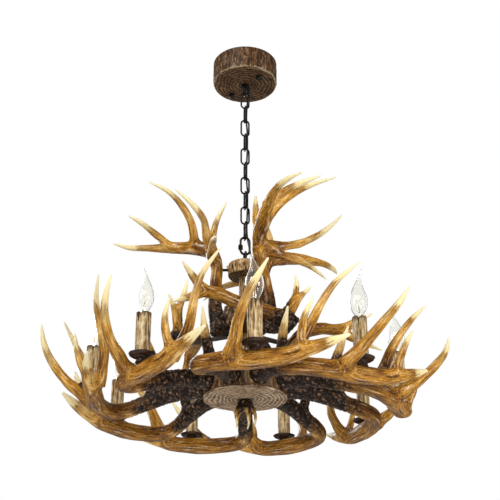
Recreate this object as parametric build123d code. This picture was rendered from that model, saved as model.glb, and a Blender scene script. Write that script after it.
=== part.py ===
from build123d import *
import os
from math import cos, pi, radians, sin, sqrt, tan

# All lengths in millimetres. The origin is the centre of the ceiling plane, +Z is up,
# +X is to the right of somebody who stands at -Y and looks along +Y.
# The fixture is laid out in (radius, angle, height): the angle starts at -Y and grows
# towards +X, and the height counts from the underside of the base plate.

# ---- overall drop ----
canopy_height = 56
chain_drop = 468            # canopy underside to the top of the cap
fixture_height = 304        # top of the cap to the underside of the base plate
chain_turn = 12             # the chain's first link stands this far from the X axis

# ---- canopy and ceiling hardware ----
canopy_r = 75
canopy_wall = 4
canopy_floor = 4
canopy_edge_r = 4
bar_length = 112
bar_width = 22
bar_thickness = 2.5
slot_spacing = 79
slot_length = 24
slot_width = 5
stud_circle_r = 49
stud_angle = 41
stud_r = 2.0
stud_end = 7                # how far a stud reaches below the canopy
ball_nut_r = 6.5
ball_nut_sink = 1.0         # how deep a ball nut is cut flat where it meets the canopy
terminal_length = 32
terminal_depth = 16
terminal_height = 13
terminal_x = -30
terminal_y = -14
terminal_wire_r = 2.2

# ---- loops, chain and supply cord ----
tube_r = 5.0                # threaded tube of the loops and the stem
tube_bore_r = 2.8
thread_gap = 0.1            # between a thread and the hole it runs in
loop_inner_r = 7.0
loop_wire = 5.0
collar_r = 9.0
collar_h = 8.0
collar_socket = 5.0
loop_sink = 1.0             # how deep the ring is let into its collar
nut_across = 17.0
nut_h = 5.0
link_count = 10
link_wire = 4.0
link_width = 22.0
link_play = 0.3
quick_wire = 5.0
quick_width = 25.0
quick_inner = 36.0
quick_gap = 6.0
quick_engage = 2.0          # thread that the sleeve keeps on each side of the gap
sleeve_across = 9.0
sleeve_bore_gap = 0.06
cord_d = 4.0
cord_hole_r = 6.2
cord_hole_length = 22.0
cap_cord_hole_r = 6.5
cap_cord_hole_depth = 24.0

# ---- cap, stem and hubs ----
cap_r = 37
cap_h = 33
cap_edge_r = 6
stem_r = 13
stem_bore_r = 10.3
upper_hub_r = 46
upper_hub_z = 145
upper_hub_h = 57
lower_hub_r = 85
lower_hub_wall = 12
lower_hub_h = 56
lower_hub_top = 9
plate_r = 86
plate_h = 5
spider_disc_r = 22
arm_width = 16
arm_thickness = 4
arm_end = 8                 # how far an arm reaches past the bolt it carries
arm_fit = 0.2
stay_r = 3
stay_below_top = 14         # from the top of the cap down to the stay rods
stay_in_cap = 9
bolt_r = 3
bolt_head_r = 5.5
bolt_head_h = 4
bolt_grip = 26
dowel_in_hub = 14
dowel_in_antler = 16
dowel_z = 158
rod_below = 10              # stem tube below the base plate, for the finial
finial_r = 15
finial_h = 16
finial_edge_r = 5
finial_prongs = 5

# ---- lights ----
light_count = 9
light_r = 311.5
light_angle = 3.2
seat_z = -9                 # flat on the palm that the tray stands on
tray_z = 3
tray_r = 25
tray_rim_h = 5
tray_floor = 2
tray_neck_r = 12.5
tray_neck_fit = 0.2
tray_bevel = 3
candle_r = 14
candle_wall = 1.6
candle_h = 83
holder_r = 11
holder_h = 79
holder_stand_r = 8.5
holder_stand_h = 44
holder_socket_depth = 25
bulb_fit = 0.3              # between a bulb's cap and its holder
nipple_in_antler = 13
nipple_in_holder = 10
bulb_cap_r = 7.0
bulb_cap_above = 3
bulb_turn_step = 137        # each bulb's bent tip points another way
bulb_outline = (            # (sideways, up, thickness) from the top of the cap
    (0, 0, 6.4),
    (0, 7, 9.5),
    (0, 19, 15),
    (0, 31, 17.5),
    (0, 46, 15.5),
    (0.5, 61, 10),
    (3, 75, 5.2),
    (7, 87, 2.8),
    (11, 96, 1.2),
)

# ---- antlers: (radius, angle, height, thickness) ----
upper_turns = (0, 120, 231)
cross_step = 120

lower_beam = (
    (81, -20, 28, 22),
    (97, -20, 28, 20),
    (145, -20, 22, 17.5),
    (200, -20, 6, 16.5),
    (245, -20, -8, 16.5),
    (275, -16, -16, 17),
    (293, -6, -20, 17.5),
    (307, 6, -21, 17.5),
    (325, 15, -15, 15),
    (350, 23, 0, 11),
    (374, 29.5, 17, 4),
)
lower_tine_a = (
    (310, -5, -14, 15),
    (335, -3, 5, 12),
    (362, -2, 25, 10),
    (390, 0, 55, 8.5),
    (409, 2.5, 85, 6.5),
    (420, 5.5, 122, 2),
)
lower_tine_b = (
    (309, 15, -14, 14),
    (310, 18.5, 15, 11),
    (315, 21.5, 45, 9.5),
    (332, 24, 82, 8),
    (355, 27.5, 122, 6),
    (378, 33.5, 162, 2),
)
lower_tine_c = (
    (330, 17, -10, 10),
    (346, 16.5, 18, 8),
    (360, 17, 48, 6),
    (371, 19, 76, 2),
)
lower_brow = (
    (186, -20, 8, 13),
    (200, -20, 36, 11.5),
    (218, -20.5, 75, 8),
    (236, -20, 114, 2),
)

upper_trunk = (
    (58, -62, 134, 19),
    (63, -66, 160, 17.5),
    (66, -74, 205, 14.5),
    (63, -83, 257, 13),
    (61, -91, 295, 13),
    (73, -96, 334, 15),
    (106, -100, 350, 15.5),
    (140, -103, 358, 14),
    (172, -104, 363, 12),
    (222, -104, 369, 8),
    (264, -102, 370, 6),
    (298, -98, 374, 2),
)
upper_tines = (
    ((112, -99, 352, 11), (118, -84, 396, 9), (145, -73, 426, 7.5), (183, -66, 443, 5.5), (230, -63, 449, 2)),
    ((70, -88, 322, 11), (102, -52, 330, 9.5), (141, -38, 354, 8), (179, -38, 376, 6), (216, -42, 401, 2)),
    ((168, -103, 364, 10), (200, -95, 386, 8), (227, -88, 399, 6), (257, -83, 407, 2)),
    ((66, -92, 314, 11), (84, -62, 306, 9.5), (108, -40, 306, 8), (140, -27, 303, 6), (182, -19, 284, 2)),
    ((73, -96, 336, 11.5), (74, -101, 375, 9), (64, -99, 414, 6.5), (41, -86, 456, 2)),
)

cross_beam = (
    (148, 40, 112, 20),
    (143, 34, 124, 18),
    (134, 20, 140, 15),
    (128, 5, 152, 13.5),
    (134, -10, 163, 13.5),
    (165, -19, 167, 13),
    (200, -23, 162, 12.5),
    (236, -25, 178, 8),
    (273, -26, 197, 2),
)
cross_tines = (
    ((200, -22.5, 160, 11), (240, -25.5, 135, 8), (286, -28, 110, 2)),
    ((140, 33, 132, 12), (142, 44, 178, 8), (136, 51, 214, 6), (131, 53, 244, 2)),
    ((140, 37, 136, 11), (150, 45, 176, 8), (162, 50, 196, 5), (170, 52, 207, 2)),
)
finial_prong = (
    (6, 0, -8, 7),
    (17, 4, -20, 5.5),
    (23, 12, -36, 4),
    (21, 22, -56, 1.5),
)

# Supply cord: (along the first link, across it, depth below the canopy)
cord_route = (
    (11.5, 14, -14),
    (11.5, 14, 14),
    (7.5, 9.8, 44),
    (4.6, 5.2, 73),
    (4.4, 4.7, 108),
    (4.6, -4.6, 135),
    (4.4, -4.7, 185),
    (4.6, 4.6, 212),
    (4.4, 4.7, 262),
    (4.6, -4.6, 289),
    (4.4, -4.7, 339),
    (4.7, 4.6, 366),
    (5.2, 5.6, 396),
    (11, 8, 422),
    (15, 8, 446),
    (15, 8.4, 470),
)

# ---- values that follow ----
canopy_z = -canopy_height
cap_top_z = canopy_z - chain_drop
plate_z = cap_top_z - fixture_height
cap_bottom = fixture_height - cap_h
stay_z = fixture_height - stay_below_top
upper_hub_top = upper_hub_z + upper_hub_h
lower_hub_z = plate_h
lower_hub_end = lower_hub_z + lower_hub_h
spider_z = upper_hub_z - arm_thickness
thread_hole_r = tube_r + thread_gap
bolt_hole_r = bolt_r + thread_gap
nut_corner_r = nut_across / sqrt(3)
ring_r = loop_inner_r + loop_wire / 2
ring_drop = collar_h - loop_sink + loop_wire + loop_inner_r
first_inner = ring_drop + loop_inner_r - link_play
quick_bottom = chain_drop - ring_drop - loop_inner_r + link_play
link_pitch = (quick_bottom - quick_inner - first_inner) / link_count
link_inner = link_pitch + link_play
light_step = 360 / light_count
holder_z = tray_z + tray_floor
holder_top = holder_z + holder_h
socket_bottom = holder_top - holder_socket_depth
cross_count = 3


def polar(r, angle, z):
    a = radians(angle)
    return Vector(r * sin(a), -r * cos(a), z)


def turned(shape, angle):
    return Rot(0, 0, angle) * shape


def round_bar(r, z_low, z_high, bore=0.0):
    body = Pos(0, 0, z_low) * extrude(Circle(r), z_high - z_low)
    if bore > 0:
        body -= Pos(0, 0, z_low) * extrude(Circle(bore), z_high - z_low)
    return body


def rod_between(start, end, r):
    """A round rod from one point to another."""
    along = end - start
    return extrude(Plane(origin=start, z_dir=along) * Circle(r), along.length)


def hex_nut(z):
    body = Pos(0, 0, z) * extrude(RegularPolygon(nut_corner_r, 6), nut_h)
    return body - round_bar(thread_hole_r, z, z + nut_h)


def group(solids):
    return Compound(children=list(solids))


def write(name, shape, z=0.0):
    export_step(Pos(0, 0, z) * shape, f"parts/{name}.step")


def branch(points):
    """A tapered round branch through (radius, angle, height, thickness) points."""
    centres = [polar(r, angle, z) for r, angle, z, _ in points]
    side = None
    sections = []
    for i, centre in enumerate(centres):
        before = centres[max(i - 1, 0)]
        after = centres[min(i + 1, len(centres) - 1)]
        along = (after - before).normalized()
        if side is None:
            side = along.cross(Vector(0, 1, 0))
        side = (side - along * side.dot(along)).normalized()
        plane = Plane(origin=centre, x_dir=side, z_dir=along)
        sections.append(plane * Circle(points[i][3]))
    return loft(sections)


def antler(beam, tines):
    body = branch(beam)
    for tine in tines:
        body = body.fuse(branch(tine))
    return body


# ---- canopy and what it hides ----
def canopy():
    body = round_bar(canopy_r, canopy_z, 0)
    body = fillet(body.edges().group_by(Axis.Z)[0], canopy_edge_r)
    body -= round_bar(canopy_r - canopy_wall, canopy_z + canopy_floor, 0)
    body -= round_bar(thread_hole_r, canopy_z, canopy_z + canopy_floor)
    for place in stud_places():
        body -= place * round_bar(stud_r + thread_gap, canopy_z, canopy_z + canopy_floor)
    cord_a, cord_b, _ = cord_route[0]
    slot = extrude(SlotOverall(cord_hole_length, 2 * cord_hole_r, rotation=90), canopy_floor)
    body -= Rot(0, 0, chain_turn) * Pos(cord_a, cord_b, canopy_z) * slot
    return body


def stud_places():
    return [Pos(polar(stud_circle_r, angle, 0)) for angle in (stud_angle, stud_angle + 180)]


def mounting_bar():
    along_studs = stud_angle - 90
    bar = Rectangle(bar_length, bar_width)
    bar += Rot(0, 0, along_studs) * Rectangle(bar_length, bar_width)
    bar -= Circle(thread_hole_r)
    for side in (-1, 1):
        bar -= Pos(side * slot_spacing / 2, 0) * SlotOverall(slot_length, slot_width)
    for place in stud_places():
        bar -= place * Circle(stud_r + thread_gap)
    return Pos(0, 0, -bar_thickness) * extrude(bar, bar_thickness)


def canopy_studs():
    stud = round_bar(stud_r, canopy_z - stud_end, 0)
    return group(place * stud for place in stud_places())


def canopy_ball_nuts():
    ball = Pos(0, 0, canopy_z - ball_nut_r + ball_nut_sink) * Sphere(ball_nut_r)
    ball -= round_bar(ball_nut_r, canopy_z, canopy_z + 2 * ball_nut_sink)
    ball -= round_bar(stud_r + thread_gap, canopy_z - stud_end, canopy_z)
    return group(place * ball for place in stud_places())


def loop_ring():
    """A ring let into a round collar, hanging under z = 0; its eye faces along X."""
    ring = Pos(0, 0, -ring_drop) * Rot(0, 90, 0) * Torus(ring_r, loop_wire / 2)
    return ring + round_bar(collar_r, -collar_h, 0)


def canopy_loop():
    shank = round_bar(tube_r, canopy_z, -bar_thickness / 2)
    body = Pos(0, 0, canopy_z) * loop_ring() + shank
    body -= round_bar(tube_bore_r, canopy_z - collar_h / 2, 0)
    return turned(body, chain_turn)


def canopy_loop_nuts():
    return group([hex_nut(canopy_z + canopy_floor), hex_nut(-bar_thickness - nut_h)])


def terminal_block():
    body = Box(terminal_length, terminal_depth, terminal_height)
    wire = Rot(90, 0, 0) * Cylinder(terminal_wire_r, terminal_depth)
    screw = Cylinder(terminal_wire_r, terminal_height / 2)
    for step in (-1, 0, 1):
        x = step * terminal_length / 3
        body -= Pos(x, 0, 0) * wire
        body -= Pos(x, 0, terminal_height / 4) * screw
    z = canopy_z + canopy_floor + terminal_height / 2
    return Pos(terminal_x, terminal_y, z) * body


# ---- chain ----
def link(width, inner, wire):
    """A closed oval link in the XZ plane, its inner top at z = 0."""
    bend_r = (width - wire) / 2
    straight = inner - 2 * (bend_r - wire / 2)
    middle = -inner / 2
    leg = Pos(0, 0, middle - straight / 2) * extrude(Circle(wire / 2), straight)
    bend = Rot(90, 0, 0) * Torus(bend_r, wire / 2)
    half = Box(width + wire, wire + 1, width, align=(Align.CENTER, Align.CENTER, Align.MIN))
    upper = Pos(0, 0, middle + straight / 2) * (bend & half)
    lower = Pos(0, 0, middle - straight / 2) * (bend - half)
    return upper + lower + Pos(bend_r, 0, 0) * leg + Pos(-bend_r, 0, 0) * leg


def chain_link(number):
    depth = first_inner + (number - 1) * link_pitch
    turn = chain_turn + 90 * ((number - 1) % 2)
    return Pos(0, 0, canopy_z - depth) * turned(link(link_width, link_inner, link_wire), turn)


quick_middle = canopy_z - quick_bottom + quick_inner / 2
quick_leg_x = (quick_width - quick_wire) / 2
sleeve_length = quick_gap + 2 * quick_engage
sleeve_travel = quick_gap + quick_engage + link_play
sleeve_low = -(sleeve_length + sleeve_travel) / 2


def quick_link():
    turn = chain_turn + 90 * (link_count % 2)
    body = Pos(0, 0, quick_middle + quick_inner / 2) * link(quick_width, quick_inner, quick_wire)
    gap = Box(2 * quick_wire, 2 * quick_wire, quick_gap)
    gap_z = quick_middle + sleeve_low + sleeve_length / 2
    body -= Pos(-quick_leg_x, 0, gap_z) * gap
    return turned(body, turn)


def quick_link_sleeve():
    turn = chain_turn + 90 * (link_count % 2)
    body = extrude(RegularPolygon(sleeve_across / sqrt(3), 6), sleeve_length)
    body -= extrude(Circle(quick_wire / 2 + sleeve_bore_gap), sleeve_length)
    return turned(Pos(-quick_leg_x, 0, quick_middle + sleeve_low) * body, turn)


def supply_cord():
    points = []
    for a, b, depth in cord_route:
        points.append(Vector(a, b, canopy_z - depth).rotate(Axis.Z, chain_turn))
    radii = []
    for before, corner, after in zip(points, points[1:], points[2:]):
        half_turn = radians((corner - before).get_angle(after - corner)) / 2
        shorter = min((corner - before).length, (after - corner).length)
        radii.append(0.45 * shorter / tan(half_turn))
    print("supply cord radii", [round(r) for r in radii])
    path = FilletPolyline(*points, radius=radii)
    start = Plane(origin=points[0], z_dir=points[1] - points[0])
    tube = sweep(start * Circle(cord_d / 2), path=path)
    share = tube.volume / (pi * cord_d ** 2 / 4 * path.length)
    print("supply cord length", round(path.length), "volume share", round(share, 4))
    return tube


# ---- cap and stem ----
def cap_loop():
    body = Rot(180, 0, 0) * loop_ring()
    body -= round_bar(thread_hole_r, 0, collar_socket)
    return Pos(0, 0, fixture_height) * turned(body, chain_turn)


def trunk_at(z):
    """Radius and angle of the top antler's trunk at a height."""
    for low, high in zip(upper_trunk, upper_trunk[1:]):
        if low[2] <= z <= high[2]:
            share = (z - low[2]) / (high[2] - low[2])
            return low[0] + share * (high[0] - low[0]), low[1] + share * (high[1] - low[1])


def stay(r, gap=0.0):
    reach, angle = trunk_at(stay_z)
    start = polar(cap_r - stay_in_cap - gap, angle, stay_z)
    return rod_between(start, polar(reach + gap, angle, stay_z), r)


def top_cap():
    body = round_bar(cap_r, cap_bottom, fixture_height)
    body = fillet(body.edges().filter_by(GeomType.CIRCLE), cap_edge_r)
    body -= round_bar(thread_hole_r, cap_bottom, fixture_height)
    for turn in upper_turns:
        body -= turned(stay(stay_r + thread_gap, thread_gap), turn)
    cord_a, cord_b, _ = cord_route[-1]
    hole = round_bar(cap_cord_hole_r, fixture_height - cap_cord_hole_depth, fixture_height)
    return body - Rot(0, 0, chain_turn) * Pos(cord_a, cord_b, 0) * hole


def stem_rod():
    return round_bar(tube_r, -rod_below, fixture_height + collar_socket, tube_bore_r)


def stem_covers():
    return group([
        round_bar(stem_r, lower_hub_end, spider_z, stem_bore_r),
        round_bar(stem_r, upper_hub_top, cap_bottom, stem_bore_r),
    ])


def stem_nuts():
    heights = (
        lower_hub_end - lower_hub_top - nut_h,
        lower_hub_end,
        spider_z - nut_h,
        upper_hub_top,
    )
    return group(hex_nut(z) for z in heights)


# ---- upper tier ----
def dowel():
    angle = upper_trunk[1][1]
    start = polar(upper_hub_r - dowel_in_hub, angle, dowel_z)
    end = polar(upper_hub_r + dowel_in_antler, angle, dowel_z)
    return start, end


def upper_hub():
    body = round_bar(upper_hub_r, upper_hub_z, upper_hub_top, thread_hole_r)
    start, end = dowel()
    for turn in upper_turns:
        body -= turned(rod_between(start, end, bolt_hole_r), turn)
    return body


def arm_bolt_place():
    r, angle, _, _ = cross_beam[3]
    return polar(r, angle, 0)


def arm(width, thickness, length):
    """A flat arm from the stem's axis towards the cross antler's bolt."""
    body = Pos(length / 2, 0, thickness / 2) * Box(length, width, thickness)
    return Rot(0, 0, cross_beam[3][1] - 90) * body


def upper_spider():
    body = round_bar(spider_disc_r, spider_z, upper_hub_z)
    for step in range(cross_count):
        reach = cross_beam[3][0] + arm_end
        body += turned(Pos(0, 0, spider_z) * arm(arm_width, arm_thickness, reach), step * cross_step)
    body -= round_bar(thread_hole_r, spider_z, upper_hub_z)
    for step in range(cross_count):
        hole = Pos(arm_bolt_place()) * round_bar(bolt_hole_r, spider_z, upper_hub_z)
        body -= turned(hole, step * cross_step)
    return body


def top_antler():
    body = antler(upper_trunk, upper_tines)
    body -= round_bar(upper_hub_r, 0, upper_hub_top)
    body -= stay(stay_r + thread_gap, thread_gap)
    start, end = dowel()
    return body - rod_between(start, end + (end - start).normalized() * thread_gap, bolt_hole_r)


def cross_antler():
    body = antler(cross_beam, cross_tines)
    notch = arm(arm_width + arm_fit, 2 * upper_hub_z, cross_beam[3][0] + arm_end + arm_fit)
    body -= Pos(0, 0, -upper_hub_z) * notch
    hole = round_bar(bolt_hole_r, upper_hub_z, upper_hub_z + dowel_in_antler + thread_gap)
    return body - Pos(arm_bolt_place()) * hole


# ---- lower tier ----
def lower_hub():
    body = round_bar(lower_hub_r, lower_hub_z, lower_hub_end, thread_hole_r)
    body -= round_bar(lower_hub_r - lower_hub_wall, lower_hub_z, lower_hub_end - lower_hub_top)
    for step in range(light_count):
        body -= turned(lower_bolt_hole(), step * light_step)
    return body


def lower_bolt_axis():
    """The bolt starts where its flat head meets the hub's curved inner wall."""
    _, angle, z, _ = lower_beam[0]
    inner_r = lower_hub_r - lower_hub_wall
    start = polar(sqrt(inner_r ** 2 - bolt_head_r ** 2), angle, z)
    end = polar(lower_hub_r + bolt_grip, angle, z)
    return start, end


def lower_bolt_hole():
    start, end = lower_bolt_axis()
    along = (end - start).normalized() * thread_gap
    return rod_between(start - along, end + along, bolt_hole_r)


def antler_bolts():
    start, end = lower_bolt_axis()
    along = (end - start).normalized()
    lower = rod_between(start, end, bolt_r) + rod_between(start - along * bolt_head_h, start, bolt_head_r)
    seat = round_bar(bolt_r, spider_z, upper_hub_z + dowel_in_antler)
    seat += round_bar(bolt_head_r, spider_z - bolt_head_h, spider_z)
    solids = [turned(lower, step * light_step) for step in range(light_count)]
    solids += [turned(Pos(arm_bolt_place()) * seat, step * cross_step) for step in range(cross_count)]
    solids += [turned(rod_between(*dowel(), bolt_r), turn) for turn in upper_turns]
    return group(solids)


def base_plate():
    return round_bar(plate_r, 0, plate_h, thread_hole_r)


def finial():
    body = round_bar(finial_r, -finial_h, 0)
    body = fillet(body.edges().group_by(Axis.Z)[0], finial_edge_r)
    for step in range(finial_prongs):
        body = body.fuse(turned(branch(finial_prong), step * 360 / finial_prongs))
    return body - round_bar(thread_hole_r, -rod_below, 0)


def lower_antler():
    body = antler(lower_beam, (lower_tine_a, lower_tine_b, lower_tine_c, lower_brow))
    body -= round_bar(lower_hub_r, -fixture_height, fixture_height)
    body -= lower_bolt_hole()
    seat = round_bar(tray_neck_r + tray_neck_fit, seat_z, tray_z)
    nipple = round_bar(thread_hole_r, seat_z - nipple_in_antler, seat_z)
    return body - light_place(0) * (seat + nipple)


# ---- lights ----
def light_place(step):
    return Rot(0, 0, step * light_step) * Pos(polar(light_r, light_angle, 0))


def around(shape):
    return group(light_place(step) * shape for step in range(light_count))


def drip_tray():
    profile = Polyline(
        (0, seat_z),
        (tray_neck_r, seat_z),
        (tray_neck_r - tray_floor, tray_z - tray_bevel),
        (tray_neck_r + tray_bevel, tray_z),
        (tray_r - tray_bevel, tray_z),
        (tray_r, tray_z + tray_rim_h),
        (tray_r - tray_floor, tray_z + tray_rim_h),
        (tray_r - tray_floor - tray_bevel, tray_z + tray_floor),
        (0, tray_z + tray_floor),
        close=True,
    )
    body = revolve(Plane.XZ * make_face(profile), Axis.Z)
    return body - round_bar(thread_hole_r, seat_z, tray_z + tray_floor)


def candle_sleeve():
    return round_bar(candle_r, holder_z, holder_z + candle_h, candle_r - candle_wall)


def lamp_holder():
    body = round_bar(holder_stand_r, holder_z, holder_z + holder_stand_h)
    body += round_bar(holder_r, holder_z + holder_stand_h, holder_top)
    body -= round_bar(bulb_cap_r + bulb_fit, socket_bottom, holder_top)
    return body - round_bar(thread_hole_r, holder_z, holder_z + nipple_in_holder)


def lamp_nipple():
    low = seat_z - nipple_in_antler
    return round_bar(tube_r, low, holder_z + nipple_in_holder, tube_bore_r)


def bulb(number):
    cap_top = holder_top + bulb_cap_above
    cap = round_bar(bulb_cap_r, socket_bottom + bulb_fit, cap_top)
    sections = []
    for side, up, r in bulb_outline:
        sections.append(Pos(side, 0, cap_top + up) * Circle(r))
    glass = Rot(0, 0, number * bulb_turn_step) * loft(sections)
    return light_place(number - 1) * group([cap, glass])


os.makedirs("parts", exist_ok=True)
write("canopy", canopy())
write("mounting_bar", mounting_bar())
write("canopy_studs", canopy_studs())
write("canopy_ball_nuts", canopy_ball_nuts())
write("canopy_loop", canopy_loop())
write("canopy_loop_nuts", canopy_loop_nuts())
write("terminal_block", terminal_block())
for number in range(1, link_count + 1):
    write(f"chain_link_{number}", chain_link(number))
write("quick_link", quick_link())
write("quick_link_sleeve", quick_link_sleeve())
write("supply_cord", supply_cord())

write("cap_loop", cap_loop(), plate_z)
write("top_cap", top_cap(), plate_z)
write("stem_rod", stem_rod(), plate_z)
write("stem_covers", stem_covers(), plate_z)
write("stem_nuts", stem_nuts(), plate_z)
write("stay_rods", group(turned(stay(stay_r), turn) for turn in upper_turns), plate_z)
write("upper_hub", upper_hub(), plate_z)
write("upper_spider", upper_spider(), plate_z)
write("lower_hub", lower_hub(), plate_z)
write("base_plate", base_plate(), plate_z)
write("finial", finial(), plate_z)
write("antler_bolts", antler_bolts(), plate_z)

top = top_antler()
for number, turn in enumerate(upper_turns, 1):
    write(f"top_antler_{number}", turned(top, turn), plate_z)
cross = cross_antler()
for number in range(1, cross_count + 1):
    write(f"cross_antler_{number}", turned(cross, (number - 1) * cross_step), plate_z)
lower = lower_antler()
for number in range(1, light_count + 1):
    write(f"lower_antler_{number}", turned(lower, (number - 1) * light_step), plate_z)
    write(f"bulb_{number}", bulb(number), plate_z)

write("drip_trays", around(drip_tray()), plate_z)
write("candle_sleeves", around(candle_sleeve()), plate_z)
write("lamp_holders", around(lamp_holder()), plate_z)
write("lamp_nipples", around(lamp_nipple()), plate_z)
print("link pitch", link_pitch, "quick link inner bottom at", canopy_z - quick_bottom)
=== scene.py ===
import math

import bmesh
import bpy
import numpy as np
from mathutils import Matrix, Vector, noise


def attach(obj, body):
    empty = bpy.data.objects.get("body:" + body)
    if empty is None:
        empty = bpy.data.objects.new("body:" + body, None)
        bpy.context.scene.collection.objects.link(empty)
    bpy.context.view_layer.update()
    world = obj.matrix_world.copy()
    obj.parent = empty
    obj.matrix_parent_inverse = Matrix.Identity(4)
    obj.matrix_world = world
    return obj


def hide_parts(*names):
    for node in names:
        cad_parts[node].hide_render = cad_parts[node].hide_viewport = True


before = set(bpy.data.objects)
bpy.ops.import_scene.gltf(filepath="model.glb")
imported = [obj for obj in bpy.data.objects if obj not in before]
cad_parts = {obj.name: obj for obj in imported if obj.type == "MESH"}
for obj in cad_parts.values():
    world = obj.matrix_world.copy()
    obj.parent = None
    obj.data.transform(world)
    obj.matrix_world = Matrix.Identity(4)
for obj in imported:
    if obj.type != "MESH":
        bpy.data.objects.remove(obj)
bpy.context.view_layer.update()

mm = 0.001

# Places in the frame, in millimetres; the angle starts at -Y and grows towards +X.
place = {
    "canopyLow": -56,
    "plateLow": -828,
    "chainTurn": 12,
    "lightCount": 9,
    "lightRadius": 311.5,
    "lightAngle": 3.2,
}
plateLow = place["plateLow"]
lightStep = 360 / place["lightCount"]


def polar(radius, angle, height):
    a = math.radians(angle)
    return np.array((radius * math.sin(a), -radius * math.cos(a), plateLow + height))


def newObject(name, mesh, matrix=None):
    piece = bpy.data.objects.new(name, mesh)
    bpy.context.scene.collection.objects.link(piece)
    if matrix is not None:
        piece.matrix_world = matrix
    return piece


def smoothShade(mesh):
    mesh.polygons.foreach_set("use_smooth", [True] * len(mesh.polygons))
    mesh.update()


def meshFrom(name, points, faces):
    mesh = bpy.data.meshes.new(name)
    mesh.from_pydata([tuple(p) for p in points], [], faces)
    mesh.validate()
    smoothShade(mesh)
    return mesh


cameraView = {
    "away": 1.9706,        # in front of the stem's axis
    "height": -1.446,
    "pitch": 25.886,       # looks up
    "focalPixels": 1005.25,
    "imagePixels": 500,
    "axisPixel": 245.06,   # where the stem stands across the picture
}


def makeCamera():
    data = bpy.data.cameras.new("camera")
    data.sensor_width = 36
    data.lens = cameraView["focalPixels"] / cameraView["imagePixels"] * data.sensor_width
    data.shift_x = 0.5 - cameraView["axisPixel"] / cameraView["imagePixels"]
    data.clip_start = 0.05
    data.clip_end = 50
    camera = newObject("camera", data)
    camera.location = (0, -cameraView["away"], cameraView["height"])
    camera.rotation_euler = (math.radians(90 + cameraView["pitch"]), 0, 0)
    bpy.context.scene.camera = camera


makeCamera()


# A link when the value is a socket, and the socket's own value otherwise.
def wire(tree, socket, value):
    if isinstance(value, bpy.types.NodeSocket):
        tree.links.new(value, socket)
    else:
        socket.default_value = value


def feed(tree, target, values):
    for key, value in values.items():
        wire(tree, target.inputs[key], value)


def node(tree, kind, values=None, **settings):
    made = tree.nodes.new(kind)
    for key, value in settings.items():
        setattr(made, key, value)
    feed(tree, made, values or {})
    return made


def ramp(tree, factor, stops):
    made = tree.nodes.new("ShaderNodeValToRGB")
    elements = made.color_ramp.elements
    while len(elements) < len(stops):
        elements.new(0.5)
    for element, (position, colour) in zip(elements, stops):
        element.position = position
        element.color = (*colour, 1)
    tree.links.new(factor, made.inputs["Fac"])
    return made.outputs["Color"]


def mixColour(tree, factor, low, high):
    made = node(tree, "ShaderNodeMix", data_type="RGBA")
    for key, value in ((0, factor), (6, low), (7, high)):  # the colour sockets share their names with others
        wire(tree, made.inputs[key], (*value, 1) if isinstance(value, tuple) else value)
    return made.outputs[2]


def calc(tree, operation, first, second):
    return node(tree, "ShaderNodeMath", {0: first, 1: second}, operation=operation).outputs[0]


# The sum of each (value, weight), plus the offset.
def blend(tree, *parts, offset=0.0):
    total = None
    for value, weight in parts:
        scaled = calc(tree, "MULTIPLY", value, weight)
        total = scaled if total is None else calc(tree, "ADD", total, scaled)
    return calc(tree, "ADD", total, offset)


def spread(tree, value, low, high, toLow=0.0, toHigh=1.0):
    values = {"Value": value, "From Min": low, "From Max": high, "To Min": toLow, "To Max": toHigh}
    return node(tree, "ShaderNodeMapRange", values, interpolation_type="SMOOTHSTEP").outputs["Result"]


def attribute(tree, name, output):
    return node(tree, "ShaderNodeAttribute", attribute_name=name).outputs[output]


def objectPoint(tree):
    return node(tree, "ShaderNodeTexCoord").outputs["Object"]


def stretched(tree, vector, scale):
    return node(tree, "ShaderNodeMapping", {"Vector": vector, "Scale": scale}).outputs["Vector"]


def noiseOf(tree, vector, scale, detail=4.0, roughness=0.55):
    values = {"Vector": vector, "Scale": scale, "Detail": detail, "Roughness": roughness}
    return node(tree, "ShaderNodeTexNoise", values).outputs["Fac"]


def startMaterial(name):
    material = bpy.data.materials.new(name)
    material.use_nodes = True
    return material, material.node_tree, material.node_tree.nodes["Principled BSDF"]


def bump(tree, shader, height, strength, distance):
    made = node(tree, "ShaderNodeBump", {"Height": height, "Strength": strength, "Distance": distance})
    feed(tree, shader, {"Normal": made.outputs["Normal"]})


def groupOf(name, sockets):
    tree = bpy.data.node_groups.new(name, "ShaderNodeTree")
    for label, kind, direction, value in sockets:
        made = tree.interface.new_socket(name=label, in_out=direction, socket_type=kind)
        if value is not None:
            made.default_value = value
    return tree, tree.nodes.new("NodeGroupInput"), tree.nodes.new("NodeGroupOutput")


# Streaks that follow a piece's own length, for antler, bark and candle.
def grainGroup():
    tree, given, result = groupOf("grain", [
        ("Flow", "NodeSocketVector", "INPUT", None),
        ("Across", "NodeSocketFloat", "INPUT", 0.3),
        ("Along", "NodeSocketFloat", "INPUT", 0.03),
        ("Streak", "NodeSocketFloat", "OUTPUT", None),
        ("Fine", "NodeSocketFloat", "OUTPUT", None),
    ])
    flow, across, along = (given.outputs[key] for key in ("Flow", "Across", "Along"))
    scale = node(tree, "ShaderNodeCombineXYZ", {"X": across, "Y": across, "Z": along}).outputs["Vector"]
    drawn = node(tree, "ShaderNodeVectorMath", {0: flow, 1: scale}, operation="MULTIPLY").outputs["Vector"]
    feed(tree, result, {"Streak": noiseOf(tree, drawn, 1.0, 6.0, 0.62),
                        "Fine": noiseOf(tree, drawn, 3.1, 5.0, 0.7)})
    return tree


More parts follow.
